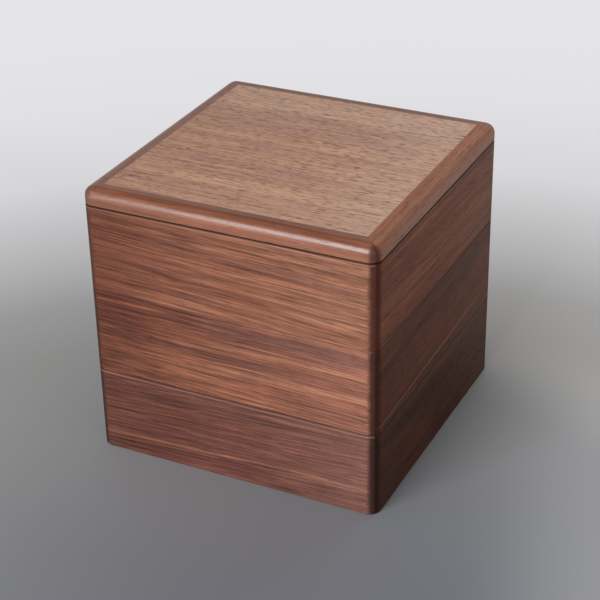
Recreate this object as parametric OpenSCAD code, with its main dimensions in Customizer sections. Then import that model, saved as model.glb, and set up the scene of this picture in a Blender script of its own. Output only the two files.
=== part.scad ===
// Three-tier stacking box in solid walnut with a flush lid.
// Millimetres, +Z up. The front looks towards -Y, and the origin is the centre of the face that the box stands on.
// Every tier is four mitred boards round a grooved-in base. A tongue round its top edge stands inside the tier above.

/* [Box] */
// Width of the stack, side to side
box_w = 180; // [150:1:240]
// Depth of the stack, front to back
box_d = 180; // [150:1:240]
// Radius of the four upright outer corners
corner_r = 7; // [4:0.5:10]

/* [Tiers] */
// Height of one tier, from its resting edge to its shoulder
tier_h = 53.2; // [40:0.1:80]
// Thickness of the wall boards
wall_t = 9; // [8:0.5:12]
// Round on the outer edges where two tiers meet
seam_r = 0.5; // [0.2:0.1:1]
// Round on the lowest outer edge of the stack
foot_r = 0.9; // [0.2:0.1:1.5]

/* [Nesting] */
// Height of the tongue above the shoulder
tongue_h = 3.5; // [2:0.5:6]
// Thickness of the tongue
tongue_t = 4; // [3:0.5:5]
// Round on the two top edges of the tongue
tongue_r = 0.8; // [0.3:0.1:1.2]
// Clearance at the side of a tongue
nest_gap = 0.4; // [0.2:0.1:0.8]
// Clearance over the top of a tongue
nest_head = 0.5; // [0.3:0.1:1]

/* [Base boards] */
// Thickness of a base board
base_t = 4; // [3:0.5:6]
// Wood left between the rebate and the base groove
base_lip = 2; // [1.5:0.5:4]
// Depth of the base groove in the walls
base_groove = 3; // [2:0.5:4]
// Room for a base board to swell at each edge
base_play = 0.3; // [0.1:0.1:0.6]

/* [Lid] */
// Thickness of the lid panel
panel_t = 6.9; // [5:0.1:10]
// Gap that shows between the lid and the top tier's shoulder, because the lid rests on the tongue
lid_gap = 0.4; // [0.2:0.1:0.8]
// Width of the rails round the panel
rail_w = 10; // [9:0.5:16]
// Round over the upper outer edge of the lid
lid_edge_r = 6; // [2:0.5:7]
// Round on the lower outer edge of the lid
lid_seam_r = 0.4; // [0.2:0.1:1]
// Thickness of the tongue round the panel
panel_tongue_t = 2.4; // [2:0.1:3]
// Length of the tongue round the panel
panel_tongue_l = 3; // [2:0.5:4]
// Room past the panel tongue in the rail groove
panel_play = 0.2; // [0.1:0.1:0.5]

/* [Corner splines] */
// Thickness of a spline
spline_t = 2; // [1.5:0.1:2.5]
// Width of a spline, across the mitre
spline_w = 6; // [4:0.5:7]
// Distance from the inner corner to the middle of a spline, along the mitre
spline_in = 6; // [5:0.5:7]
// Wood left above and below a spline
spline_end = 3; // [2:0.5:8]
// Glue room round the edges of a spline
glue_gap = 0.1; // [0.05:0.05:0.3]

/* [Hidden] */
$fn = 96;
// How far a cutting shape reaches past what it cuts
over = 1;
// Depth of a tier's rebate, which clears the tongue it takes
rebate_h = tongue_h + nest_head;
// Distance from the outer face to the tongue, and to the rebate that goes round it
tongue_u = wall_t - tongue_t;
rebate_u = tongue_u - nest_gap;
// Height of the underside of a base board in its tier
base_z = rebate_h + base_lip;
// Heights between which a spline lies in its tier
spline_z0 = base_z + base_t + spline_end;
spline_z1 = tier_h - spline_end;
// Depth of the lid's rebate, height of the lid, and height of its panel's tongue
lid_rebate_h = tongue_h - lid_gap;
lid_h = lid_rebate_h + panel_t;
panel_tongue_z = lid_rebate_h + (panel_t - panel_tongue_t) / 2;
// Resting heights of the tiers and the lid
bottom_z = 0;
middle_z = tier_h;
top_z = 2 * tier_h;
lid_z = 3 * tier_h + lid_gap;

wall_brown = "#6a4330";
side_brown = "#5e3b2b";
base_brown = "#7c5640";
rail_brown = "#704733";
panel_brown = "#8a6450";
spline_brown = "#b08a64";

// Sections are drawn with x as the distance in from the outer face and y as the height.

// What a round of radius r takes off a corner at the origin, for wood that lies towards +x and +y
module round_off(r) {
    difference() {
        translate([-over, -over]) square(r + over);
        translate([r, r]) circle(r);
    }
}

// Wall section: shoulder and tongue at the top, rebate at the bottom
module wall_section(lower_r) {
    difference() {
        union() {
            square([wall_t, tier_h]);
            translate([tongue_u, 0]) square([tongue_t, tier_h + tongue_h]);
        }
        translate([rebate_u, -over]) square([wall_t - rebate_u + over, over + rebate_h]);
        round_off(lower_r);
        translate([0, tier_h]) mirror([0, 1]) round_off(seam_r);
        translate([tongue_u, tier_h + tongue_h]) mirror([0, 1]) round_off(tongue_r);
        translate([wall_t, tier_h + tongue_h]) mirror([1, 0]) mirror([0, 1]) round_off(tongue_r);
    }
}

// Rail section: a large round at the top, and a rebate that rests on the tongue of the tier below
module rail_section() {
    difference() {
        square([rail_w, lid_h]);
        translate([rebate_u, -over]) square([rail_w - rebate_u + over, over + lid_rebate_h]);
        round_off(lid_seam_r);
        translate([0, lid_h]) mirror([0, 1]) round_off(lid_edge_r);
    }
}

// Plan of the space between the mitres at the two ends of a board, seen from above with its outer face along y = 0
function between_mitres(run, thick) = [
    [-run / 2 - over, -over], [run / 2 + over, -over],
    [run / 2 - thick - over, thick + over], [thick + over - run / 2, thick + over]
];

// A mitred board on the front side of a rectangle: the section runs straight between the corner axes,
// and turns through 45 degrees round each of them, up to the mitre
module mitred_board(run, across, thick, high) {
    axis_x = run / 2 - corner_r;
    translate([0, -across / 2, 0]) {
        intersection() {
            rotate([90, 0, 90]) linear_extrude(2 * axis_x, center = true) children();
            translate([0, 0, -over]) linear_extrude(high + 2 * over) polygon(between_mitres(run, thick));
        }
        for (end = [0, 1])
            mirror([end, 0, 0])
                translate([axis_x, corner_r, 0])
                    rotate([0, 0, -90])
                        rotate_extrude(angle = 45)
                            intersection() {
                                translate([corner_r, 0]) mirror([1, 0]) children();
                                square([corner_r, high]);
                            }
    }
}

// One spline across a mitre, grown by extra at its edges and ends, at the corner on the diagonal of this quadrant
module spline_at(sx, sy, extra) {
    wide = spline_w + 2 * extra;
    translate([sx * (box_w / 2 - wall_t), sy * (box_d / 2 - wall_t), spline_z0 - extra])
        rotate([0, 0, atan2(sy, sx)])
            translate([spline_in - spline_t / 2, -wide / 2, 0])
                cube([spline_t, wide, spline_z1 - spline_z0 + 2 * extra]);
}

module corner_splines(extra = 0) {
    for (sx = [-1, 1], sy = [-1, 1]) spline_at(sx, sy, extra);
}

// One wall of a tier, turned to its side: 0 is the front, 90 the right, 180 the back and 270 the left
module tier_wall(turn, lower_r) {
    across_x = turn == 90 || turn == 270;
    run = across_x ? box_d : box_w;
    across = across_x ? box_w : box_d;
    difference() {
        rotate([0, 0, turn])
            mitred_board(run, across, wall_t, tier_h + tongue_h) wall_section(lower_r);
        base_groove_slab();
        corner_splines(glue_gap);
    }
}

// The groove that all four walls of a tier share
module base_groove_slab() {
    inset = wall_t - base_groove;
    translate([inset - box_w / 2, inset - box_d / 2, base_z])
        cube([box_w - 2 * inset, box_d - 2 * inset, base_t]);
}

// The base board, short of the groove's bottom all round
module tier_base() {
    inset = wall_t - base_groove + base_play;
    translate([inset - box_w / 2, inset - box_d / 2, base_z])
        cube([box_w - 2 * inset, box_d - 2 * inset, base_t]);
}

// One rail of the lid, turned as the walls are
module lid_rail(turn) {
    across_x = turn == 90 || turn == 270;
    run = across_x ? box_d : box_w;
    across = across_x ? box_w : box_d;
    difference() {
        rotate([0, 0, turn]) mitred_board(run, across, rail_w, lid_h) rail_section();
        panel_slab(panel_tongue_l + panel_play, panel_tongue_z, panel_tongue_t);
    }
}

// A slab as large as the opening between the rails and spread past it all round
module panel_slab(spread, z, thick) {
    inset = rail_w - spread;
    translate([inset - box_w / 2, inset - box_d / 2, z])
        cube([box_w - 2 * inset, box_d - 2 * inset, thick]);
}

module bottom_front_wall() { color(wall_brown) translate([0, 0, bottom_z]) tier_wall(0, foot_r); }
module bottom_back_wall() { color(wall_brown) translate([0, 0, bottom_z]) tier_wall(180, foot_r); }
module bottom_left_wall() { color(side_brown) translate([0, 0, bottom_z]) tier_wall(270, foot_r); }
module bottom_right_wall() { color(side_brown) translate([0, 0, bottom_z]) tier_wall(90, foot_r); }
module bottom_base() { color(base_brown) translate([0, 0, bottom_z]) tier_base(); }
module bottom_corner_splines() { color(spline_brown) translate([0, 0, bottom_z]) corner_splines(); }

module middle_front_wall() { color(wall_brown) translate([0, 0, middle_z]) tier_wall(0, seam_r); }
module middle_back_wall() { color(wall_brown) translate([0, 0, middle_z]) tier_wall(180, seam_r); }
module middle_left_wall() { color(side_brown) translate([0, 0, middle_z]) tier_wall(270, seam_r); }
module middle_right_wall() { color(side_brown) translate([0, 0, middle_z]) tier_wall(90, seam_r); }
module middle_base() { color(base_brown) translate([0, 0, middle_z]) tier_base(); }
module middle_corner_splines() { color(spline_brown) translate([0, 0, middle_z]) corner_splines(); }

module top_front_wall() { color(wall_brown) translate([0, 0, top_z]) tier_wall(0, seam_r); }
module top_back_wall() { color(wall_brown) translate([0, 0, top_z]) tier_wall(180, seam_r); }
module top_left_wall() { color(side_brown) translate([0, 0, top_z]) tier_wall(270, seam_r); }
module top_right_wall() { color(side_brown) translate([0, 0, top_z]) tier_wall(90, seam_r); }
module top_base() { color(base_brown) translate([0, 0, top_z]) tier_base(); }
module top_corner_splines() { color(spline_brown) translate([0, 0, top_z]) corner_splines(); }

module lid_front_rail() { color(rail_brown) translate([0, 0, lid_z]) lid_rail(0); }
module lid_back_rail() { color(rail_brown) translate([0, 0, lid_z]) lid_rail(180); }
module lid_left_rail() { color(rail_brown) translate([0, 0, lid_z]) lid_rail(270); }
module lid_right_rail() { color(rail_brown) translate([0, 0, lid_z]) lid_rail(90); }
module lid_panel() {
    color(panel_brown) translate([0, 0, lid_z]) {
        panel_slab(0, lid_rebate_h, panel_t);
        panel_slab(panel_tongue_l, panel_tongue_z, panel_tongue_t);
    }
}

bottom_front_wall();
bottom_back_wall();
bottom_left_wall();
bottom_right_wall();
bottom_base();
bottom_corner_splines();
middle_front_wall();
middle_back_wall();
middle_left_wall();
middle_right_wall();
middle_base();
middle_corner_splines();
top_front_wall();
top_back_wall();
top_left_wall();
top_right_wall();
top_base();
top_corner_splines();
lid_front_rail();
lid_back_rail();
lid_left_rail();
lid_right_rail();
lid_panel();
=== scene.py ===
"""Dresses a three-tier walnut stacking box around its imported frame.

Every board is solid walnut under a clear satin finish. Its grain is worked out as a block of wood: growth
rings round a pith, bands of colour that follow them, and pores that run along the fibres. So the figure
turns over each edge as it does on a sawn board. Lengths in the classes are in millimetres.
"""

import logging
import math
from dataclasses import dataclass
from enum import Enum

import bmesh
import bpy
from mathutils import Matrix, Vector

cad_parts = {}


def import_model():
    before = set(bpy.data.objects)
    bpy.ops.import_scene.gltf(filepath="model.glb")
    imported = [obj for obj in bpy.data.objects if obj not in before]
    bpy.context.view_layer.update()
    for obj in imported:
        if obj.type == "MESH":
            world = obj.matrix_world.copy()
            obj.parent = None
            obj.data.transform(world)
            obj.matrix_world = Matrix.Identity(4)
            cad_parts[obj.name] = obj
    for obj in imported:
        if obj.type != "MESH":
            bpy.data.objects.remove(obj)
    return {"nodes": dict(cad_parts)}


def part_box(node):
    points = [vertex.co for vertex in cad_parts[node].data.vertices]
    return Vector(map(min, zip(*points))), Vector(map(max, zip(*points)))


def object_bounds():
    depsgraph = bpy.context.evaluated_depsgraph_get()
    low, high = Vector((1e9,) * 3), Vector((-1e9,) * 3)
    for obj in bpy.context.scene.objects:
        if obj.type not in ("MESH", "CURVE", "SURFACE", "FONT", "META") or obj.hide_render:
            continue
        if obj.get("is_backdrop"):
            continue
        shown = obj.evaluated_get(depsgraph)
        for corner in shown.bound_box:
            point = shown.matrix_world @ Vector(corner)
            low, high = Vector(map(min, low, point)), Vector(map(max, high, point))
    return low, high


LOG = logging.getLogger("jubako")
MM = 0.001


def linear(hex_colour: str) -> tuple[float, float, float, float]:
    """Turn an sRGB hex colour into the linear colour that a shader takes.

    Args:
        hex_colour: Colour such as "#8a5b42".

    Returns:
        Linear red, green and blue with an alpha of 1.
    """
    channels = [int(hex_colour[i:i + 2], 16) / 255 for i in (1, 3, 5)]
    lit = [c / 12.92 if c <= 0.04045 else ((c + 0.055) / 1.055) ** 2.4 for c in channels]
    return (lit[0], lit[1], lit[2], 1.0)


def add(tree: bpy.types.NodeTree, kind: str, inputs: dict | None = None, **settings: object) -> bpy.types.Node:
    """Add a shader node, set its options and fill its inputs.

    Args:
        tree: Node tree that takes the node.
        kind: Blender's name of the node after "ShaderNode", such as "Math".
        inputs: Value or output socket for each input, by name or number.
        settings: The node's own options, such as operation="ADD".

    Returns:
        The new node.
    """
    node = tree.nodes.new("ShaderNode" + kind)
    for name, value in settings.items():
        setattr(node, name, value)
    for key, value in (inputs or {}).items():
        if isinstance(value, bpy.types.NodeSocket):
            tree.links.new(value, node.inputs[key])
        else:
            node.inputs[key].default_value = value
    return node


def empty_material(name: str) -> bpy.types.Material:
    """Make a material with no nodes yet.

    Args:
        name: The material's name.

    Returns:
        The new material.
    """
    material = bpy.data.materials.new(name)
    material.use_nodes = True
    material.node_tree.nodes.clear()
    return material


def middle_of(node: str, face: float | None = None) -> Vector:
    """Find the middle of a piece.

    Args:
        node: Name of the piece.
        face: Height of the face that shows, from the piece's foot, where a tongue stands above it.

    Returns:
        The middle, in millimetres.
    """
    low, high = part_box(node)
    middle = (low + high) / 2 / MM
    if face is not None:
        middle.z = low.z / MM + face / 2
    return middle


class Grain(Enum):
    """Which way a board's fibres run, then the two axes across them: over its face, and into it."""

    WALL_ALONG_X = ("X", "Z", "Y")
    WALL_ALONG_Y = ("Y", "Z", "X")
    FLAT_ALONG_X = ("X", "Y", "Z")


class Cut(Enum):
    """How a board was sawn: where the tree's pith lies from the board's middle, over its face and into it."""

    FLAT_SAWN = (-12.0, 58.0)
    RIFT_SAWN = (-70.0, 60.0)
    QUARTER_SAWN = (-190.0, 24.0)


@dataclass(frozen=True)
class Streak:
    """A streak of darker or paler heartwood along a board's face, which fades in and out at its two ends.

    Its height is from the board's middle where the streak crosses it, and it climbs along the fibres.
    """

    height: float
    breadth: float
    colour: str
    strength: float = 0.6
    climb: float = 0.0
    start: float = -130.0
    end: float = 130.0


@dataclass(frozen=True)
class EndToneAndLight:
    """The tone that a board's colour goes over to, from its middle to one end: partly the board's own tone and
    partly painted light, with paler, greyer ends as painted sheen and darker ends as painted shade.
    """

    colour: str
    strength: float
    end: float


@dataclass(frozen=True)
class Knot:
    """A pin knot: the fibres bow round it, and its heart is dark."""

    along: float
    height: float
    radius: float = 1.5
    bow: float = 2.5
    heart: float = 0.28


@dataclass(frozen=True)
class Walnut:
    """Black walnut heartwood, planed and sanded, under a clear satin finish that has soaked in.

    Planed walnut shows the eye three things: slow bands of purple-brown and tan along the growth rings, fine
    lines and thin dark pores that run with the fibres, and a faint ripple where the fibres wave. The finish
    leaves it between matt and gloss, a little duller in the pores, and end grain drinks it and goes dark.
    """

    name: str
    cut: Cut
    dark: str = "#65392c"
    body: str = "#85503a"
    pale: str = "#a0664b"
    end_grain: str = "#462116"
    climb: float = 0.0
    dive: float = 0.0
    band: float = 9.0
    band_depth: float = 0.65
    ring: float = 3.4
    ring_depth: float = 0.10
    line_depth: float = 0.76
    fibre_depth: float = 0.76
    pore_length: float = 6.5
    pore_width: float = 0.7
    pore_depth: float = 0.30
    pore_share: float = 0.34
    ripple_depth: float = 0.07
    # The drift from one end to the other is partly the board's tone and partly painted light
    drift_with_painted_light: float = 0.0
    roughness: float = 0.44
    specular: float = 0.32
    coat: float = 0.0
    # Painted shade on a wall's seams at foot and crown, and a painted highlight on the arris under the crown
    foot_painted_shade: float = 0.0
    brow_painted_highlight: float = 0.0
    crown_painted_shade: float = 0.0
    # Tones towards the ends, partly painted light: paler, greyer ends are painted sheen, darker ends painted shade
    end_tones_and_light: tuple[EndToneAndLight, ...] = ()
    streaks: tuple[Streak, ...] = ()
    knot: Knot | None = None


class Board:
    """One walnut board, with the nodes that colour it."""

    def __init__(self, node: str, look: Walnut, grain: Grain, seed: int, face: float | None = None) -> None:
        """Start the board's material.

        Args:
            node: Name of the piece.
            look: How this board's wood looks.
            grain: Which way its fibres run.
            seed: Number of the board's place in the tree, so that no two boards match.
            face: Height of the face that shows, where a tongue stands above it.
        """
        self.look = look
        self.grain = grain
        self.seed = seed
        self.face = face
        self.middle = middle_of(node, face)
        self.result = empty_material(f"{look.name}_{node}")
        self.tree = self.result.node_tree

    def material(self) -> bpy.types.Material:
        """Build the board's material.

        Returns:
            The finished material.
        """
        along, height, depth = self.place_on_board()
        bowed, heart = self.bow_round_knot(along, height)
        flow = self.follow_fibres(along, bowed, depth)
        own_part = (431.0 * self.seed, 57.0 * self.seed, 23.0 * self.seed)
        place = add(self.tree, "VectorMath", {0: flow, 1: own_part}, operation="ADD").outputs[0]
        radius = self.distance_from_pith(along, flow)
        colour = self.colour_bands(along, radius, place)
        for streak in self.look.streaks:
            colour = self.lay_streak(colour, streak, along, height, place)
        for tone in self.look.end_tones_and_light:
            colour = self.tone_end_and_light(colour, tone, along)
        year = self.growth_years(along, radius)
        fibre = self.fibres(place)
        pores = self.pores(place, year)
        shade = self.light_and_dark(along, year, fibre, place)
        end_grain = self.end_grain_share()
        colour = self.finish_colour(colour, shade, pores, end_grain, heart)
        # Painted shade along the seams and a painted highlight on the arris under the crown
        if self.face is not None:
            colour = self.paint_seam_shade_and_highlight(colour, height)
        self.finish_surface(colour, pores, fibre, end_grain)
        return self.result

    def place_on_board(self) -> tuple:
        """Measure places in millimetres from the board's middle.

        Returns:
            Sockets with the place along the fibres, over the face, and into the board.
        """
        metres = add(self.tree, "TexCoord").outputs["Object"]
        scaled = add(self.tree, "VectorMath", {0: metres, 1: (1 / MM,) * 3}, operation="MULTIPLY").outputs[0]
        local = add(self.tree, "VectorMath", {0: scaled, 1: self.middle}, operation="SUBTRACT").outputs[0]
        split = add(self.tree, "SeparateXYZ", {0: local})
        return tuple(split.outputs[axis] for axis in self.grain.value)

    def bow_round_knot(self, along: bpy.types.NodeSocket, height: bpy.types.NodeSocket) -> tuple:
        """Push the fibres aside round the knot, if the board has one.

        Args:
            along: Place along the fibres.
            height: Place over the face.

        Returns:
            Sockets with the bowed height, and with the knot's dark heart, 0 to 1, or None.
        """
        knot = self.look.knot
        if knot is None:
            return height, None
        reach = 2.6 * knot.radius
        run = add(self.tree, "Math", {0: along, 1: knot.along}, operation="SUBTRACT").outputs[0]
        rise = add(self.tree, "Math", {0: height, 1: knot.height}, operation="SUBTRACT").outputs[0]
        spot = add(self.tree, "CombineXYZ", {0: run, 1: rise}).outputs[0]
        # The bow is about three times as long as it is high
        oval = add(self.tree, "VectorMath", {0: spot, 1: (1 / (3 * reach), 1 / reach, 0)},
                   operation="MULTIPLY").outputs[0]
        far = add(self.tree, "VectorMath", {0: oval}, operation="LENGTH").outputs["Value"]
        near = add(self.tree, "MapRange", {0: far, 1: 1.6, 2: 0.0}, interpolation_type="SMOOTHSTEP").outputs[0]
        side = add(self.tree, "Math", {0: rise, 1: reach}, operation="DIVIDE").outputs[0]
        lean = add(self.tree, "Math", {0: side}, operation="TANH").outputs[0]
        push = add(self.tree, "Math", {0: near, 1: lean}, operation="MULTIPLY").outputs[0]
        bowed = add(self.tree, "Math", {0: push, 1: -knot.bow, 2: height}, operation="MULTIPLY_ADD").outputs[0]
        round_spot = add(self.tree, "VectorMath", {0: spot, 1: (0.6 / knot.radius, 1 / knot.radius, 0)},
                         operation="MULTIPLY").outputs[0]
        off = add(self.tree, "VectorMath", {0: round_spot}, operation="LENGTH").outputs["Value"]
        heart = add(self.tree, "MapRange", {0: off, 1: 1.5, 2: 0.5}, interpolation_type="SMOOTHSTEP").outputs[0]
        return bowed, heart

    def follow_fibres(self, along: bpy.types.NodeSocket, height: bpy.types.NodeSocket,
                      depth: bpy.types.NodeSocket) -> bpy.types.NodeSocket:
        """Tilt and sway the board's space, so that what runs along it follows fibres that wander about 1 mm.

        Args:
            along: Place along the board.
            height: Place over the face.
            depth: Place into the board.

        Returns:
            Socket with the place in the fibres' own space.
        """
        straight = add(self.tree, "CombineXYZ", {0: along, 1: height, 2: depth}).outputs[0]
        own_part = (97.0 * self.seed, 31.0 * self.seed, 13.0 * self.seed)
        spot = add(self.tree, "VectorMath", {0: straight, 1: own_part}, operation="ADD").outputs[0]
        wander = self.noise(spot, (130, 26, 26), roughness=0.4).outputs["Color"]
        sway = add(self.tree, "VectorMath", {0: wander, 1: (0.5, 0.5, 0.5)}, operation="SUBTRACT").outputs[0]
        swayed = add(self.tree, "VectorMath", {0: sway, 1: (0.0, 5.0, 5.0), 2: straight},
                     operation="MULTIPLY_ADD").outputs[0]
        run = add(self.tree, "CombineXYZ", {0: 0.0, 1: along, 2: 0.0}).outputs[0]
        return add(self.tree, "VectorMath", {0: run, 1: (0.0, -self.look.climb, 0.0), 2: swayed},
                   operation="MULTIPLY_ADD").outputs[0]

    def noise(self, place: bpy.types.NodeSocket, lengths: tuple[float, float, float],
              detail: float = 2.0, roughness: float = 0.5) -> bpy.types.Node:
        """Read smooth noise whose spots have the given lengths.

        Args:
            place: Where it is read, in millimetres.
            lengths: Length of a spot along each of the place's axes, in millimetres.
            detail: How many finer layers are added.
            roughness: How strong the finer layers are.

        Returns:
            The noise node.
        """
        per_mm = tuple(1 / length for length in lengths)
        scaled = add(self.tree, "VectorMath", {0: place, 1: per_mm}, operation="MULTIPLY").outputs[0]
        return add(self.tree, "TexNoise", {"Vector": scaled, "Scale": 1.0, "Detail": detail, "Roughness": roughness})

    def distance_from_pith(self, along: bpy.types.NodeSocket, flow: bpy.types.NodeSocket) -> bpy.types.NodeSocket:
        """Work out how far each point lies from the tree's pith.

        Args:
            along: Place along the board.
            flow: Place in the fibres' own space.

        Returns:
            Socket with the distance in millimetres.
        """
        pith_height, pith_depth = self.look.cut.value
        across = add(self.tree, "VectorMath", {0: flow, 1: (0.0, 1.0, 1.0)}, operation="MULTIPLY").outputs[0]
        run = add(self.tree, "CombineXYZ", {0: 0.0, 1: 0.0, 2: along}).outputs[0]
        tilted = add(self.tree, "VectorMath", {0: run, 1: (0.0, 0.0, -self.look.dive), 2: across},
                     operation="MULTIPLY_ADD").outputs[0]
        from_pith = add(self.tree, "VectorMath", {0: tilted, 1: (0.0, pith_height, pith_depth)},
                        operation="SUBTRACT").outputs[0]
        return add(self.tree, "VectorMath", {0: from_pith}, operation="LENGTH").outputs["Value"]

    def colour_bands(self, along: bpy.types.NodeSocket, radius: bpy.types.NodeSocket,
                     place: bpy.types.NodeSocket) -> bpy.types.NodeSocket:
        """Colour the slow bands of heartwood along the growth rings, and the fine lines within them.

        Args:
            along: Place along the board.
            radius: Distance from the pith.
            place: Place in the tree.

        Returns:
            Socket with the colour.
        """
        spot = add(self.tree, "CombineXYZ", {0: along, 1: radius, 2: 11.7 * self.seed}).outputs[0]
        band = self.noise(spot, (260, self.look.band, 1), detail=3.0, roughness=0.55).outputs["Fac"]
        # Real lines are a few tenths of a millimetre wide, and are drawn at about 1 mm
        lines = self.noise(place, (110, 1.0, 1.0), detail=2.0, roughness=0.6).outputs["Fac"]
        banded = add(self.tree, "Math", {0: band, 1: self.look.band_depth}, operation="MULTIPLY").outputs[0]
        lined = add(self.tree, "Math", {0: lines, 1: self.look.line_depth, 2: banded},
                    operation="MULTIPLY_ADD").outputs[0]
        ramp = add(self.tree, "ValToRGB", {0: lined})
        ramp.color_ramp.interpolation = "EASE"
        first, last = ramp.color_ramp.elements
        middle = 0.5 * (self.look.band_depth + self.look.line_depth)
        first.position = middle - 0.17
        first.color = linear(self.look.dark)
        last.position = middle + 0.19
        last.color = linear(self.look.pale)
        ramp.color_ramp.elements.new(middle).color = linear(self.look.body)
        return ramp.outputs[0]

    def lay_streak(self, colour: bpy.types.NodeSocket, streak: Streak, along: bpy.types.NodeSocket,
                   height: bpy.types.NodeSocket, place: bpy.types.NodeSocket) -> bpy.types.NodeSocket:
        """Lay one streak over the bands, with edges that feather into the fibres.

        Args:
            colour: Colour so far.
            streak: The streak.
            along: Place along the board.
            height: Place over the face.
            place: Place in the tree.

        Returns:
            Socket with the colour.
        """
        torn = self.noise(place, (90, 2.0, 9), detail=3.0, roughness=0.6).outputs["Fac"]
        line = add(self.tree, "Math", {0: along, 1: -streak.climb, 2: height}, operation="MULTIPLY_ADD").outputs[0]
        feather = 2.4 * streak.breadth
        waved = add(self.tree, "Math", {0: torn, 1: feather, 2: line}, operation="MULTIPLY_ADD").outputs[0]
        off = add(self.tree, "Math", {0: waved, 1: streak.height + feather / 2}, operation="SUBTRACT").outputs[0]
        away = add(self.tree, "Math", {0: off}, operation="ABSOLUTE").outputs[0]
        body = add(self.tree, "MapRange", {0: away, 1: streak.breadth, 2: 0.0, 4: streak.strength},
                   interpolation_type="SMOOTHSTEP").outputs[0]
        fade = 0.3 * (streak.end - streak.start)
        rise = add(self.tree, "MapRange", {0: along, 1: streak.start, 2: streak.start + fade},
                   interpolation_type="SMOOTHSTEP").outputs[0]
        fall = add(self.tree, "MapRange", {0: along, 1: streak.end, 2: streak.end - fade},
                   interpolation_type="SMOOTHSTEP").outputs[0]
        span = add(self.tree, "Math", {0: rise, 1: fall}, operation="MULTIPLY").outputs[0]
        share = add(self.tree, "Math", {0: span, 1: body}, operation="MULTIPLY").outputs[0]
        return add(self.tree, "Mix", {0: share, 6: colour, 7: linear(streak.colour)}, data_type="RGBA").outputs[2]

    def tone_end_and_light(self, colour: bpy.types.NodeSocket, tone: EndToneAndLight,
                 along: bpy.types.NodeSocket) -> bpy.types.NodeSocket:
        """Let the board's colour go over to another tone towards one end, which is partly painted light.

        Args:
            colour: Colour so far.
            tone: The tone.
            along: Place along the board.

        Returns:
            Socket with the colour.
        """
        share = add(self.tree, "MapRange", {0: along, 1: 0.0, 2: tone.end, 4: tone.strength},
                    interpolation_type="SMOOTHSTEP").outputs[0]
        return add(self.tree, "Mix", {0: share, 6: colour, 7: linear(tone.colour)}, data_type="RGBA").outputs[2]

    def growth_years(self, along: bpy.types.NodeSocket, radius: bpy.types.NodeSocket) -> bpy.types.NodeSocket:
        """Tell how far each point is through its year's growth.

        Args:
            along: Place along the fibres.
            radius: Distance from the pith.

        Returns:
            Socket with 0 at the start of a year and 1 at its end.
        """
        spot = add(self.tree, "CombineXYZ", {0: along, 1: radius, 2: 3.1 * self.seed}).outputs[0]
        uneven = self.noise(spot, (240, 16, 1), detail=1.0).outputs["Fac"]
        rings = add(self.tree, "Math", {0: radius, 1: self.look.ring}, operation="DIVIDE").outputs[0]
        count = add(self.tree, "Math", {0: uneven, 1: 3.0, 2: rings}, operation="MULTIPLY_ADD").outputs[0]
        return add(self.tree, "Math", {0: count}, operation="FRACT").outputs[0]

    def fibres(self, place: bpy.types.NodeSocket) -> bpy.types.NodeSocket:
        """Comb fine fibres along the board, 0.7 mm wide, which is wider than real so that they show.

        Args:
            place: Place in the tree.

        Returns:
            Socket with the fibres' noise, 0 to 1.
        """
        return self.noise(place, (34, 0.7, 0.7), detail=1.0, roughness=0.7).outputs["Fac"]

    def pores(self, place: bpy.types.NodeSocket, year: bpy.types.NodeSocket) -> bpy.types.NodeSocket:
        """Cut the pores, which are 0.15 to 0.3 mm wide and drawn at about 0.6 mm, so that they show.

        Args:
            place: Place in the tree.
            year: How far through its year's growth each point is.

        Returns:
            Socket with 1 in a pore and 0 between them.
        """
        look = self.look
        lengths = (look.pore_length, look.pore_width, look.pore_width)
        spots = self.noise(place, lengths, detail=1.0, roughness=0.4).outputs["Fac"]
        # Pores are widest in the first wood of each year
        thinned = add(self.tree, "Math", {0: year, 1: -0.10, 2: spots}, operation="MULTIPLY_ADD").outputs[0]
        edge = 0.64 - 0.28 * look.pore_share
        return add(self.tree, "MapRange", {0: thinned, 1: edge, 2: edge + 0.11},
                   interpolation_type="SMOOTHSTEP").outputs[0]

    def light_and_dark(self, along: bpy.types.NodeSocket, year: bpy.types.NodeSocket, fibre: bpy.types.NodeSocket,
                       place: bpy.types.NodeSocket) -> bpy.types.NodeSocket:
        """Add up growth lines, fibres, ripple and the slow drift from one end of the board to the other, which is
        partly the board's tone and partly painted light.

        Args:
            along: Place along the fibres.
            year: How far through its year's growth each point is.
            fibre: The fibres' noise.
            place: Place in the tree.

        Returns:
            Socket with the shade, about 1.
        """
        look = self.look
        # Each year's wood darkens slowly and ends in a sharp line
        late = add(self.tree, "Math", {0: year, 1: 2.6}, operation="POWER").outputs[0]
        ringed = add(self.tree, "Math", {0: late, 1: -look.ring_depth, 2: 1 + 0.28 * look.ring_depth},
                     operation="MULTIPLY_ADD").outputs[0]
        ripple = self.noise(place, (6, 15, 15)).outputs["Fac"]
        # Noise keeps near its middle, so its swing is taken three times over
        combed = add(self.tree, "Math", {0: fibre, 1: 3 * look.fibre_depth, 2: ringed},
                     operation="MULTIPLY_ADD").outputs[0]
        rippled = add(self.tree, "Math", {0: ripple, 1: 3 * look.ripple_depth, 2: combed},
                      operation="MULTIPLY_ADD").outputs[0]
        # Painted light, in part: the board grows lighter along its length
        drifted = add(self.tree, "Math", {0: along, 1: look.drift_with_painted_light / 90, 2: rippled},
                      operation="MULTIPLY_ADD").outputs[0]
        surplus = 1.5 * (look.fibre_depth + look.ripple_depth)
        return add(self.tree, "Math", {0: drifted, 1: surplus}, operation="SUBTRACT").outputs[0]

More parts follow.
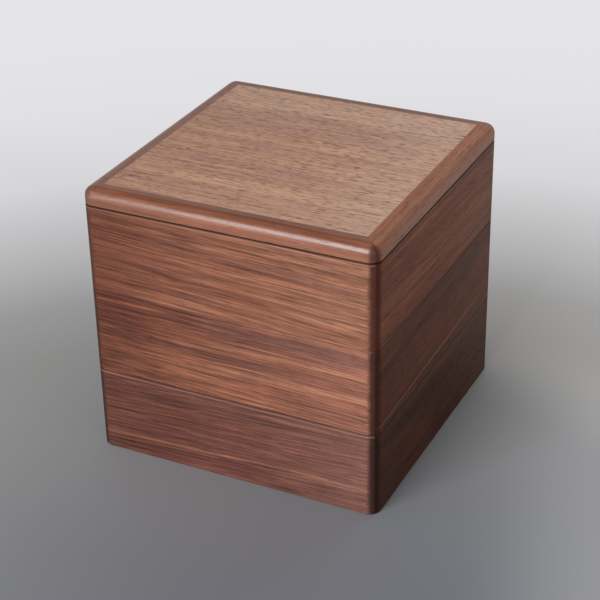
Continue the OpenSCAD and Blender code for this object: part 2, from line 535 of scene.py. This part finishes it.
    def end_grain_share(self) -> bpy.types.NodeSocket:
        """Tell how far the surface cuts across the fibres: 0 on the face, 1 on end grain."""
        facing = add(self.tree, "TexCoord").outputs["Normal"]
        fibre_axis = (1, 0, 0) if self.grain.value[0] == "X" else (0, 1, 0)
        across = add(self.tree, "VectorMath", {0: facing, 1: fibre_axis}, operation="DOT_PRODUCT").outputs["Value"]
        tilt = add(self.tree, "Math", {0: across}, operation="ABSOLUTE").outputs[0]
        return add(self.tree, "MapRange", {0: tilt, 1: 0.08, 2: 0.55}, interpolation_type="SMOOTHSTEP").outputs[0]

    def finish_colour(self, colour: bpy.types.NodeSocket, shade: bpy.types.NodeSocket, pores: bpy.types.NodeSocket,
                      end_grain: bpy.types.NodeSocket, heart: bpy.types.NodeSocket | None) -> bpy.types.NodeSocket:
        """Join bands, shade, pores, end grain and knot into the board's colour.

        Args:
            colour: Colour of the bands and streaks.
            shade: Light and dark, about 1.
            pores: The pores.
            end_grain: Share of end grain.
            heart: The knot's dark heart, or None.

        Returns:
            Socket with the colour.
        """
        toned = add(self.tree, "HueSaturation", {"Value": shade, "Color": colour}).outputs[0]
        holes = add(self.tree, "Math", {0: pores, 1: self.look.pore_depth}, operation="MULTIPLY").outputs[0]
        pored = add(self.tree, "Mix", {0: holes, 6: toned, 7: linear("#3a211a")}, data_type="RGBA").outputs[2]
        soaked = add(self.tree, "Math", {0: end_grain, 1: 0.92}, operation="MULTIPLY").outputs[0]
        ended = add(self.tree, "Mix", {0: soaked, 6: pored, 7: linear(self.look.end_grain)}, data_type="RGBA").outputs[2]
        if heart is None:
            return ended
        black = add(self.tree, "Math", {0: heart, 1: self.look.knot.heart}, operation="MULTIPLY").outputs[0]
        return add(self.tree, "Mix", {0: black, 6: ended, 7: linear("#35201a")}, data_type="RGBA").outputs[2]

    def paint_seam_shade_and_highlight(self, colour: bpy.types.NodeSocket, height: bpy.types.NodeSocket) -> bpy.types.NodeSocket:
        """Paint shade on the seam at foot and crown, and a painted highlight on the arris under the crown.

        Args:
            colour: Colour so far.
            height: Place over the face.

        Returns:
            Socket with the colour.
        """
        look = self.look
        half = self.face / 2
        foot = add(self.tree, "MapRange", {0: height, 1: 1.0 - half, 2: 0.4 - half, 4: look.foot_painted_shade},
                   interpolation_type="SMOOTHSTEP").outputs[0]
        below_crown = add(self.tree, "Math", {0: half, 1: height}, operation="SUBTRACT").outputs[0]
        from_line = add(self.tree, "Math", {0: below_crown, 1: 0.15}, operation="SUBTRACT").outputs[0]
        off = add(self.tree, "Math", {0: from_line}, operation="ABSOLUTE").outputs[0]
        crown = add(self.tree, "MapRange", {0: off, 1: 0.65, 2: 0.35, 4: look.crown_painted_shade},
                    interpolation_type="SMOOTHSTEP").outputs[0]
        low_line = add(self.tree, "Math", {0: below_crown, 1: 1.1}, operation="SUBTRACT").outputs[0]
        from_edge = add(self.tree, "Math", {0: low_line}, operation="ABSOLUTE").outputs[0]
        edge = add(self.tree, "MapRange", {0: from_edge, 1: 0.55, 2: 0.2, 4: look.brow_painted_highlight},
                   interpolation_type="SMOOTHSTEP").outputs[0]
        # Painted highlight: the arris under the crown is made paler where it would catch the light
        painted_highlit = add(self.tree, "Mix", {0: edge, 6: colour, 7: linear("#bb8e7b")}, data_type="RGBA").outputs[2]
        dark = add(self.tree, "Math", {0: foot, 1: crown}, operation="MAXIMUM").outputs[0]
        # Painted shade: the seam at foot and crown goes dark where shade falls between the parts
        return add(self.tree, "Mix", {0: dark, 6: painted_highlit, 7: linear("#280f08")}, data_type="RGBA").outputs[2]

    def finish_surface(self, colour: bpy.types.NodeSocket, pores: bpy.types.NodeSocket,
                       fibre: bpy.types.NodeSocket, end_grain: bpy.types.NodeSocket) -> None:
        """Lay the satin finish: its gloss, duller in the pores, and the small relief of pores and fibres.

        Args:
            colour: The board's colour.
            pores: The pores.
            fibre: The fibres' noise.
            end_grain: Share of end grain.
        """
        dull = add(self.tree, "Math", {0: pores, 1: 0.16, 2: self.look.roughness - 0.05},
                   operation="MULTIPLY_ADD").outputs[0]
        brushed = add(self.tree, "Math", {0: fibre, 1: 0.10, 2: dull}, operation="MULTIPLY_ADD").outputs[0]
        rough = add(self.tree, "Math", {0: end_grain, 1: 0.10, 2: brushed}, operation="MULTIPLY_ADD").outputs[0]
        relief = add(self.tree, "Math", {0: pores, 1: -1.0, 2: fibre}, operation="MULTIPLY_ADD").outputs[0]
        # Filled pores still dip by about 0.03 mm
        bump = add(self.tree, "Bump", {"Strength": 0.55, "Distance": 0.03 * MM, "Height": relief}).outputs[0]
        shader = add(self.tree, "BsdfPrincipled", {"Base Color": colour, "Roughness": rough, "IOR": 1.5,
                                                   "Specular IOR Level": self.look.specular, "Normal": bump,
                                                   "Coat Weight": self.look.coat, "Coat Roughness": 0.25,
                                                   "Coat IOR": 1.5, "Coat Normal": bump})
        add(self.tree, "OutputMaterial", {"Surface": shader.outputs[0]})


@dataclass(frozen=True)
class Maple:
    """Hard maple, sawn into thin splines and left bare.

    It lies hidden in the mitres. It looks pale cream, with fine straight fibres, and has no gloss.
    """

    name: str = "maple_sawn_bare"
    pale: str = "#d9bf96"
    dark: str = "#b8976a"
    fibre_width: float = 0.4
    fibre_length: float = 12.0

    def material(self) -> bpy.types.Material:
        """Build the splines' material.

        Returns:
            The finished material.
        """
        result = empty_material(self.name)
        tree = result.node_tree
        place = add(tree, "TexCoord").outputs["Object"]
        thin = 1 / (self.fibre_width * MM)
        combed = add(tree, "VectorMath", {0: place, 1: (thin, thin, 1 / (self.fibre_length * MM))},
                     operation="MULTIPLY").outputs[0]
        fibre = add(tree, "TexNoise", {"Vector": combed, "Scale": 1.0, "Detail": 3.0}).outputs["Fac"]
        ramp = add(tree, "ValToRGB", {0: fibre})
        first, last = ramp.color_ramp.elements
        first.position = 0.35
        first.color = linear(self.dark)
        last.position = 0.65
        last.color = linear(self.pale)
        rough = add(tree, "MapRange", {0: fibre, 3: 0.60, 4: 0.75}).outputs[0]
        bump = add(tree, "Bump", {"Strength": 0.5, "Distance": 0.05 * MM, "Height": fibre}).outputs[0]
        shader = add(tree, "BsdfPrincipled", {"Base Color": ramp.outputs[0], "Roughness": rough, "IOR": 1.5,
                                              "Normal": bump})
        add(tree, "OutputMaterial", {"Surface": shader.outputs[0]})
        return result


@dataclass
class Pieces:
    """The frame's pieces, which are dressed one at a time."""

    nodes: dict[str, bpy.types.Object]
    boards: int = 0

    def dress_board(self, node: str, look: Walnut, grain: Grain, face: float | None = None) -> None:
        """Give one board its wood.

        Args:
            node: Name of the piece.
            look: How its wood looks.
            grain: Which way its fibres run.
            face: Height of the face that shows, where a tongue stands above it.
        """
        self.boards += 1
        self.give(node, Board(node, look, grain, self.boards, face).material())

    def give(self, node: str, material: bpy.types.Material) -> None:
        """Put a material on a piece.

        Args:
            node: Name of the piece.
            material: Its material.
        """
        mesh = self.nodes[node].data
        mesh.materials.clear()
        mesh.materials.append(material)
        LOG.info("%s is dressed in %s", node, material.name)


@dataclass
class Tier:
    """One tier: four mitred walls, a base in their grooves and splines across the mitres."""

    name: str
    front: Walnut
    back: Walnut
    left: Walnut
    right: Walnut
    base: Walnut
    face: float = 53.2

    def dress(self, pieces: Pieces) -> None:
        """Give each piece of the tier its wood.

        Args:
            pieces: The frame's pieces.
        """
        for side in ("front", "back"):
            pieces.dress_board(f"{self.name}_{side}_wall", getattr(self, side), Grain.WALL_ALONG_X, self.face)
        for side in ("left", "right"):
            pieces.dress_board(f"{self.name}_{side}_wall", getattr(self, side), Grain.WALL_ALONG_Y, self.face)
        pieces.dress_board(f"{self.name}_base", self.base, Grain.FLAT_ALONG_X)
        pieces.give(f"{self.name}_corner_splines", Maple(f"maple_{self.name}_splines").material())


@dataclass
class Lid:
    """The lid: a flat panel framed by four mitred rails."""

    front: Walnut
    back: Walnut
    left: Walnut
    right: Walnut
    panel: Walnut
    edge: float = 10.0

    def dress(self, pieces: Pieces) -> None:
        """Give each piece of the lid its wood.

        Args:
            pieces: The frame's pieces.
        """
        for side in ("front", "back"):
            pieces.dress_board(f"lid_{side}_rail", getattr(self, side), Grain.WALL_ALONG_X, self.edge)
        for side in ("left", "right"):
            pieces.dress_board(f"lid_{side}_rail", getattr(self, side), Grain.WALL_ALONG_Y, self.edge)
        pieces.dress_board("lid_panel", self.panel, Grain.FLAT_ALONG_X)


@dataclass(frozen=True)
class Viewpoint:
    """Where the camera stands, worked out from the box's own edges in the picture."""

    place: tuple[float, float, float] = (386.0, -774.5, 557.7)
    azimuth: float = 26.474
    elevation: float = 29.241
    roll: float = -1.160
    focal_pixels: float = 1643.8
    frame_pixels: float = 600.0
    sensor: float = 36.0

    def set_up(self) -> None:
        """Make the camera and look through it."""
        turn, tip, roll = (math.radians(angle) for angle in (self.azimuth, self.elevation, self.roll))
        level = Matrix.Rotation(turn, 4, "Z") @ Matrix.Rotation(math.pi / 2 - tip, 4, "X")
        data = bpy.data.cameras.new("camera")
        data.sensor_width = self.sensor
        data.lens = self.sensor * self.focal_pixels / self.frame_pixels
        data.clip_end = 30.0
        camera = bpy.data.objects.new("camera", data)
        camera.matrix_world = Matrix.Translation(Vector(self.place) * MM) @ level @ Matrix.Rotation(roll, 4, "Z")
        bpy.context.scene.collection.objects.link(camera)
        bpy.context.scene.camera = camera
        LOG.info("camera stands at %s mm", self.place)


@dataclass(frozen=True)
class SoftBox:
    """A square soft lamp that faces the box. Its azimuth is 0 in front and grows towards the right."""

    name: str
    azimuth: float
    elevation: float
    distance: float
    side: float
    watts: float

    def hang(self, aim: Vector) -> None:
        """Hang the lamp so that it faces the point it is aimed at.

        Args:
            aim: That point, in metres.
        """
        turn, tip = math.radians(self.azimuth), math.radians(self.elevation)
        away = Vector((math.sin(turn) * math.cos(tip), -math.cos(turn) * math.cos(tip), math.sin(tip)))
        data = bpy.data.lights.new(self.name, "AREA")
        data.shape = "SQUARE"
        data.size = self.side * MM
        data.energy = self.watts
        lamp = bpy.data.objects.new(self.name, data)
        lamp.location = aim + away * self.distance * MM
        lamp.rotation_euler = away.to_track_quat("Z", "Y").to_euler()
        bpy.context.scene.collection.objects.link(lamp)
        LOG.info("%s hangs %.0f mm away", self.name, self.distance)


@dataclass(frozen=True)
class Studio:
    """A grey table that fades to white, painted paler to the right of and behind the box to lift its shadow, in a
    room that is pale near the horizon and dark overhead.
    """

    reach: float = 7000.0
    pool: tuple[float, float, float] = (0.156, -0.313, 0.0)
    near_grey: str = "#787b84"
    mid_grey: str = "#a0a09f"
    right_shadow_lift_grey: str = "#babbbf"
    behind_shadow_lift_grey: str = "#c5c4c1"
    far_white: str = "#e4e4e7"
    room_pale: str = "#c4c6ca"
    room_dark: str = "#9c9b9a"
    ceiling: str = "#353331"
    lamps: tuple[SoftBox, ...] = (
        SoftBox("window_lamp", -11.0, 23.0, 1800.0, 1090.0, 27.5),
        SoftBox("back_lamp", 168.0, 45.0, 1800.0, 1000.0, 3.5),
    )

    def set_up(self, aim: Vector) -> None:
        """Build floor, lamps and room.

        Args:
            aim: The box's middle, in metres.
        """
        self.lay_floor()
        self.light_room()
        for lamp in self.lamps:
            lamp.hang(aim)

    def lay_floor(self) -> None:
        """Lay the table: a large smooth disc, grey round the box and pale all round."""
        mesh = bpy.data.meshes.new("floor")
        disc = bmesh.new()
        bmesh.ops.create_circle(disc, cap_ends=True, radius=self.reach * MM, segments=96)
        disc.to_mesh(mesh)
        disc.free()
        floor = bpy.data.objects.new("floor", mesh)
        floor.location.z = -0.05 * MM
        bpy.context.scene.collection.objects.link(floor)
        mesh.materials.append(self.floor_material())
        floor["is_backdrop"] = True

    def floor_material(self) -> bpy.types.Material:
        """Build the table's material: smooth grey laminate that the eye sees fade to white, painted paler to the
        right of and behind the box, which lifts the box's shadow there.

        Returns:
            The finished material.
        """
        result = empty_material("grey_laminate")
        tree = result.node_tree
        place = add(tree, "TexCoord").outputs["Object"]
        off = add(tree, "VectorMath", {0: place, 1: self.pool}, operation="SUBTRACT").outputs[0]
        far = add(tree, "VectorMath", {0: off}, operation="LENGTH").outputs["Value"]
        outward = add(tree, "MapRange", {0: far, 1: 0.10, 2: 0.45}, interpolation_type="SMOOTHSTEP").outputs[0]
        grey = add(tree, "Mix", {0: outward, 6: linear(self.near_grey), 7: linear(self.mid_grey)},
                   data_type="RGBA").outputs[2]
        # Painted light: the table is made paler to the right of and behind the box, lifting the box's shadow there
        rightward = add(tree, "VectorMath", {0: place, 1: (1.0, 0.3, 0.0)}, operation="DOT_PRODUCT").outputs["Value"]
        right_painted_light = add(tree, "MapRange", {0: rightward, 1: 0.105, 2: 0.205, 4: 0.6},
                        interpolation_type="SMOOTHSTEP").outputs[0]
        paler = add(tree, "Mix", {0: right_painted_light, 6: grey, 7: linear(self.right_shadow_lift_grey)}, data_type="RGBA").outputs[2]
        backward = add(tree, "VectorMath", {0: place, 1: (0.4, 1.0, 0.0)}, operation="DOT_PRODUCT").outputs["Value"]
        behind_painted_light = add(tree, "MapRange", {0: backward, 1: 0.085, 2: 0.17}, interpolation_type="SMOOTHSTEP").outputs[0]
        toned = add(tree, "Mix", {0: behind_painted_light, 6: paler, 7: linear(self.behind_shadow_lift_grey)}, data_type="RGBA").outputs[2]
        laminate = add(tree, "BsdfPrincipled", {"Base Color": toned, "Roughness": 0.5, "IOR": 1.45}).outputs[0]
        white = add(tree, "Emission", {"Color": linear(self.far_white), "Strength": 1.0}).outputs[0]
        fade = add(tree, "ValToRGB", {0: far})
        fade.color_ramp.interpolation = "LINEAR"
        first, last = fade.color_ramp.elements
        first.position = 0.44
        first.color = (0.0, 0.0, 0.0, 1.0)
        last.position = 1.0
        last.color = (1.0, 1.0, 1.0, 1.0)
        for stop, share in ((0.505, 0.10), (0.567, 0.34), (0.70, 0.78), (0.86, 0.95)):
            fade.color_ramp.elements.new(stop).color = (share, share, share, 1.0)
        path = add(tree, "LightPath")
        looked_at = add(tree, "Math", {0: path.outputs["Is Camera Ray"], 1: path.outputs["Is Glossy Ray"]},
                        operation="MAXIMUM").outputs[0]
        share = add(tree, "Math", {0: fade.outputs[0], 1: looked_at}, operation="MULTIPLY").outputs[0]
        surface = add(tree, "MixShader", {0: share, 1: laminate, 2: white}).outputs[0]
        add(tree, "OutputMaterial", {"Surface": surface})
        return result

    def light_room(self) -> None:
        """Build the room: pale near the horizon, darker overhead, and plain white where it is looked at."""
        world = bpy.data.worlds.new("room")
        world.use_nodes = True
        tree = world.node_tree
        tree.nodes.clear()
        way = add(tree, "TexCoord").outputs["Generated"]
        climb = add(tree, "SeparateXYZ", {0: way}).outputs[2]
        overhead = add(tree, "MapRange", {0: climb, 1: 0.30, 2: 0.75}, interpolation_type="SMOOTHSTEP").outputs[0]
        tone = add(tree, "Mix", {0: overhead, 6: linear(self.room_pale), 7: linear(self.room_dark)},
                   data_type="RGBA").outputs[2]
        soft = add(tree, "Background", {"Color": tone, "Strength": 1.0}).outputs[0]
        higher = add(tree, "MapRange", {0: climb, 1: 0.20, 2: 0.68}, interpolation_type="SMOOTHSTEP").outputs[0]
        mirrored = add(tree, "Mix", {0: higher, 6: linear(self.room_pale), 7: linear(self.ceiling)},
                       data_type="RGBA").outputs[2]
        sharp = add(tree, "Background", {"Color": mirrored, "Strength": 1.0}).outputs[0]
        path = add(tree, "LightPath")
        around = add(tree, "MixShader", {0: path.outputs["Is Glossy Ray"], 1: soft, 2: sharp}).outputs[0]
        backdrop = add(tree, "Background", {"Color": linear(self.far_white), "Strength": 1.0}).outputs[0]
        shown = add(tree, "MixShader", {0: path.outputs["Is Camera Ray"], 1: around, 2: backdrop}).outputs[0]
        add(tree, "OutputWorld", {"Surface": shown})
        bpy.context.scene.world = world
        bpy.context.scene.view_settings.view_transform = "Standard"


def front_walls() -> dict[str, Walnut]:
    """Choose the front boards, which the picture shows best: one for each tier."""
    plum = "#512d27"
    mauve = "#643d34"
    rust = "#9b614a"
    tan = "#b27b5e"
    # Each front is darker at its left end and paler at its right, partly its own tone and partly painted light from
    # its drift and end tones
    return {
        "top": Walnut("walnut_rift_sawn", Cut.RIFT_SAWN, dark="#5f3528", body="#84523d", pale="#9e6950",
                      climb=-0.045, dive=0.02, drift_with_painted_light=0.08, brow_painted_highlight=0.25, foot_painted_shade=0.15,
                      crown_painted_shade=0.85, end_tones_and_light=(EndToneAndLight("#582619", 0.66, -85.0), EndToneAndLight("#ab816d", 0.15, 80.0)),
                      streaks=(
            Streak(24.0, 2.0, tan, 0.35, 0.0, -150, 20), Streak(20.0, 3.4, tan, 0.50, 0.0, -10, 150),
            Streak(11.3, 3.4, "#5c3730", 0.60, -0.05, -130, 160), Streak(1.0, 2.2, plum, 0.30, 0.0, -150, -20),
            Streak(-6.0, 3.0, mauve, 0.45, -0.03, -130, -5), Streak(2.0, 1.6, rust, 0.40, -0.045, -100, 60),
            Streak(-13.0, 4.0, tan, 0.50, 0.0, 20, 160), Streak(-17.5, 2.0, plum, 0.38, 0.0, -130, 50),
            Streak(-25.5, 2.0, tan, 0.22, 0.0, -65, 60))),
        "middle": Walnut("walnut_flat_sawn", Cut.FLAT_SAWN, dark="#623a2f", body="#86533f", pale="#a0684f",
                         end_grain="#3a1d15", climb=-0.02, dive=0.06, drift_with_painted_light=0.26, foot_painted_shade=0.85,
                         end_tones_and_light=(EndToneAndLight("#521808", 0.50, -80.0), EndToneAndLight("#a87c6c", 0.15, 80.0)), streaks=(
            Streak(10.0, 9.0, "#4c2720", 0.45, 0.0, -135, -35), Streak(19.5, 8.0, "#603d38", 0.80, 0.0, -45, 190),
            Streak(8.6, 2.4, tan, 0.48, 0.0, -20, 100), Streak(0.8, 4.4, "#523230", 0.64, 0.0, -130, 85),
            Streak(-6.0, 3.4, tan, 0.55, 0.0, -20, 125), Streak(-11.8, 2.8, "#6d4536", 0.45, 0.0, -100, 40),
            Streak(-20.0, 3.0, "#67402f", 0.34, 0.0, -85, 15),
            Streak(22.0, 1.3, "#bb7752", 0.75, 0.0, -125, -20)),
            knot=Knot(-52.0, 2.2)),
        "bottom": Walnut("walnut_flat_sawn", Cut.FLAT_SAWN, dark="#4b2d28", body="#653c32", pale="#7d4e40",
                         end_grain="#2d1814", climb=0.04, dive=0.06, drift_with_painted_light=0.16, brow_painted_highlight=0.35,
                         end_tones_and_light=(EndToneAndLight("#5b2c20", 0.24, -80.0), EndToneAndLight("#96746b", 0.18, 80.0)), streaks=(
            Streak(22.2, 2.0, "#956655", 0.30, 0.0, -110, 150), Streak(17.2, 3.2, "#4a322f", 0.40, 0.0, -120, 130),
            Streak(11.0, 2.2, "#80513f", 0.40, 0.0, -90, 20), Streak(-0.6, 2.0, "#85584a", 0.40, 0.0, -90, 0),
            Streak(6.0, 4.0, "#6f412f", 0.42, 0.02), Streak(-11.5, 1.7, "#9c674d", 0.62, 0.045, -130, 50),
            Streak(-10.8, 2.0, "#a06b52", 0.55, 0.0, 5, 150), Streak(-20.5, 4.0, "#472725", 0.42, 0.0, -150, 60))),
    }


def side_walls() -> dict[str, Walnut]:
    """Choose the side boards: the lower ones are darker, partly by their own tone and partly as painted shade nearer
    the floor.
    """
    # The paler back end tone of every side board is painted sheen
    quiet = {"ring_depth": 0.06, "fibre_depth": 0.46, "line_depth": 0.75, "specular": 0.12,
             "roughness": 0.5, "end_tones_and_light": (EndToneAndLight("#a07a68", 0.12, 80.0),)}
    rust = "#985236"
    return {
        "top": Walnut("walnut_side_rift_sawn", Cut.RIFT_SAWN, dark="#643628", body="#7e4933", pale="#915b41",
                      climb=-0.02, crown_painted_shade=0.85, foot_painted_shade=0.85, **quiet,
                      streaks=(Streak(-15.0, 2.2, rust, 0.45, 0.0, -110, 0),)),
        "middle": Walnut("walnut_side_rift_sawn", Cut.RIFT_SAWN, dark="#49281a", body="#613624", pale="#72432d",
                         end_grain="#3a1d15", climb=0.035, foot_painted_shade=0.4, **quiet,
                         streaks=(Streak(-22.0, 8.0, "#4f2b20", 0.45), Streak(-11.0, 4.0, "#7a3e28", 0.45, 0.03),
                                  Streak(-19.5, 1.2, "#9a6a50", 0.80, 0.035, -130, 90))),
        "bottom": Walnut("walnut_side_flat_sawn", Cut.FLAT_SAWN, dark="#391e14", body="#4c291b", pale="#5e3522",
                         end_grain="#2d1814", climb=-0.03, dive=0.06, **quiet, streaks=(Streak(23.0, 5.0, "#64402f", 0.60),
                                                                Streak(12.0, 4.0, "#3a2524", 0.25, -0.05))),
    }


def lid_boards() -> Lid:
    """Choose the lid's boards: rails from one dark board and a lighter one, the back and left ones greyed as painted
    sheen, and a pale panel with dense pores, paler partly by painted light.
    """
    # The rails take a last thin coat of the finish, the front one most, so its rounded edge shines
    rail = {"name": "walnut_rail_quarter_sawn", "cut": Cut.QUARTER_SAWN, "band_depth": 0.5, "line_depth": 0.6,
            "fibre_depth": 0.26, "ring_depth": 0.05, "roughness": 0.40}
    dark = {"dark": "#6e3d2a", "body": "#8b5339", "pale": "#9e6345"}
    # Colours greyed as a painted sheen, the grey reflection along the back and left rails
    sheen_greyed = {"dark": "#744c3e", "body": "#906554", "pale": "#a17563"}
    light = {"dark": "#81503a", "body": "#9f6548", "pale": "#b27959"}
    mauve = "#a67f74"
    straw = "#d8ac86"
    return Lid(front=Walnut(**rail, **dark, coat=0.85, specular=0.45, drift_with_painted_light=0.08), back=Walnut(**rail, **sheen_greyed, coat=0.25),
               left=Walnut(**rail, **sheen_greyed, coat=0.25), right=Walnut(**rail, **light, coat=0.08, specular=0.22),
               # The panel's colours are paler than the rails', partly its own wood and partly painted light from
               # above
               panel=Walnut("walnut_panel_quarter_sawn", Cut.QUARTER_SAWN, dark="#aa7f6c", body="#c59379",
                            pale="#d6a888", band=12.0, band_depth=0.35, line_depth=0.85, fibre_depth=0.34,
                            ring_depth=0.07, drift_with_painted_light=0.05, pore_length=5.5, pore_width=0.95, pore_depth=0.50, pore_share=0.44,
                            streaks=(
                                Streak(47.0, 5.0, mauve, 0.45), Streak(30.0, 7.0, mauve, 0.50, 0.0, -110, 110),
                                Streak(10.0, 5.0, straw, 0.45), Streak(1.0, 1.6, mauve, 0.50, -0.01),
                                Streak(-15.0, 4.0, straw, 0.40), Streak(-28.0, 5.0, mauve, 0.45, 0.0, -120, 100),
                                Streak(-50.0, 8.0, straw, 0.45), Streak(-72.0, 4.0, mauve, 0.25),
                                # The broad pale streak across the back of the panel is a painted sheen
                                Streak(68.0, 42.0, "#e2bfa8", 0.42)),
                            # The panel's paler, greyer right end is painted sheen, and its darker left end painted
                            # shade
                            end_tones_and_light=(EndToneAndLight("#dfc2b1", 0.25, 85.0), EndToneAndLight("#a8806c", 0.12, -80.0))))


def main() -> None:
    """Build the box's looks and the studio round it."""
    logging.basicConfig(level=logging.INFO, format="%(message)s")
    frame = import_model()
    frame_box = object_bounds()
    Viewpoint().set_up()
    pieces = Pieces(frame["nodes"])
    base = Walnut("walnut_base_flat_sawn", Cut.FLAT_SAWN, dark="#7a5040", body="#9b6b51", pale="#b5835f", dive=0.08)
    fronts, sides = front_walls(), side_walls()
    for name in ("bottom", "middle", "top"):
        Tier(name, fronts[name], fronts[name], sides[name], sides[name], base).dress(pieces)
    lid_boards().dress(pieces)
    low, high = frame_box
    Studio().set_up((low + high) / 2)


if __name__ == "__main__":
    main()
